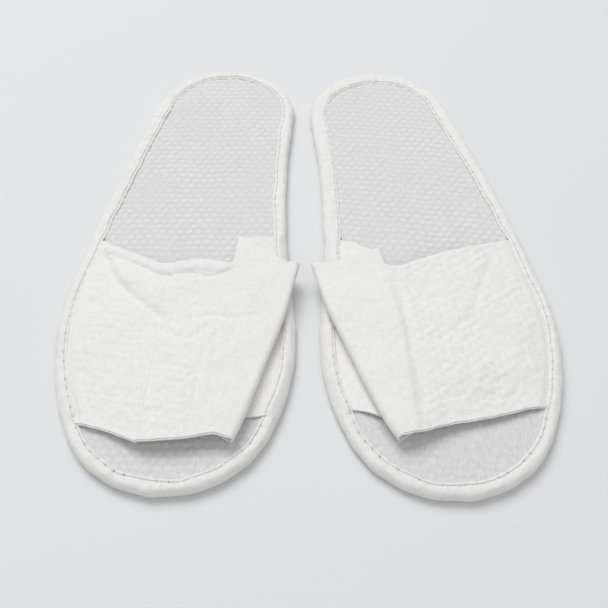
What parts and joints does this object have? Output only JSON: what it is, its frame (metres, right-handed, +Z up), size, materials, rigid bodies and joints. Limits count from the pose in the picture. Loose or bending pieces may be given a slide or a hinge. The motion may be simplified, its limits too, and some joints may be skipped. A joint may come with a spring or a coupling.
{
  "type": "spa slippers",
  "caption": "Pair of flat open-toed spa slippers: thin bound foam soles, stitched edge tape and a folded band of cloth over each forefoot.",
  "frame": {"origin": "on the floor, under the centre of the pair's box", "axes": "+X from the right slipper to the left one, +Y from the toes to the heels, +Z up"},
  "size_m": [0.2302, 0.2818, 0.0129],
  "materials": {
    "band_cloth": "soft non-woven",
    "insole_cloth": "embossed non-woven",
    "tape_cloth": "matte woven tape",
    "thread": "spun polyester",
    "foam": "matte closed-cell foam",
    "outsole_eva": "matte foam sheet"
  },
  "bodies": {
    "right_sole": {"right_outsole": "outsole_eva", "right_foam_core": "foam", "right_insole": "insole_cloth", "right_binding_tape": "tape_cloth", "right_stitching": "thread", "right_lateral_margin": "band_cloth", "right_medial_margin": "band_cloth"},
    "right_upper_top": {"right_top_panel_lining": "band_cloth", "right_top_panel_face": "band_cloth"},
    "right_upper_middle": {"right_middle_panel_face": "band_cloth", "right_middle_panel_lining": "band_cloth"},
    "right_upper_under": {"right_under_panel_lining": "band_cloth", "right_under_panel_face": "band_cloth"},
    "left_sole": {"left_outsole": "outsole_eva", "left_foam_core": "foam", "left_insole": "insole_cloth", "left_binding_tape": "tape_cloth", "left_stitching": "thread", "left_lateral_margin": "band_cloth", "left_medial_margin": "band_cloth"},
    "left_upper_top": {"left_top_panel_lining": "band_cloth", "left_top_panel_face": "band_cloth"},
    "left_upper_middle": {"left_middle_panel_face": "band_cloth", "left_middle_panel_lining": "band_cloth"},
    "left_upper_under": {"left_under_panel_lining": "band_cloth", "left_under_panel_face": "band_cloth"}
  },
  "joints": [
    {"name": "pair_apart", "type": "slide", "parent": "right_sole", "child": "left_sole", "axis": [1, 0, 0], "range_m": [0, 0.15]},
    {"name": "right_upper_lift", "type": "hinge", "parent": "right_sole", "child": "right_upper_top", "pos_m": [-0.10415, -0.05376, 0.0066], "axis": [-0.0052, -1, 0], "range_deg": [0, 22]},
    {"name": "right_outer_fold", "type": "hinge", "parent": "right_upper_top", "child": "right_upper_middle", "pos_m": [-0.01615, -0.05422, 0.0102], "axis": [-0.2293, -0.9734, 0], "range_deg": [0, 24]},
    {"name": "right_inner_fold", "type": "hinge", "parent": "right_upper_middle", "child": "right_upper_under", "pos_m": [-0.0464, -0.05406, 0.0086], "axis": [0.0998, 0.995, 0], "range_deg": [0, 68]},
    {"name": "left_upper_lift", "type": "hinge", "parent": "left_sole", "child": "left_upper_top", "pos_m": [0.10418, -0.05409, 0.0066], "axis": [-0.041, 0.9992, 0], "range_deg": [0, 22]},
    {"name": "left_outer_fold", "type": "hinge", "parent": "left_upper_top", "child": "left_upper_middle", "pos_m": [0.01626, -0.05769, 0.0102], "axis": [-0.2639, 0.9645, 0], "range_deg": [0, 24]},
    {"name": "left_inner_fold", "type": "hinge", "parent": "left_upper_middle", "child": "left_upper_under", "pos_m": [0.04648, -0.05645, 0.0086], "axis": [0.1353, -0.9908, 0], "range_deg": [0, 68]}
  ],
  "couplings": [
    {"joint": "right_outer_fold", "follows": "right_upper_lift", "ratio": 1.05},
    {"joint": "right_inner_fold", "follows": "right_upper_lift", "ratio": 3.04},
    {"joint": "left_outer_fold", "follows": "left_upper_lift", "ratio": 1.05},
    {"joint": "left_inner_fold", "follows": "left_upper_lift", "ratio": 3.04}
  ]
}
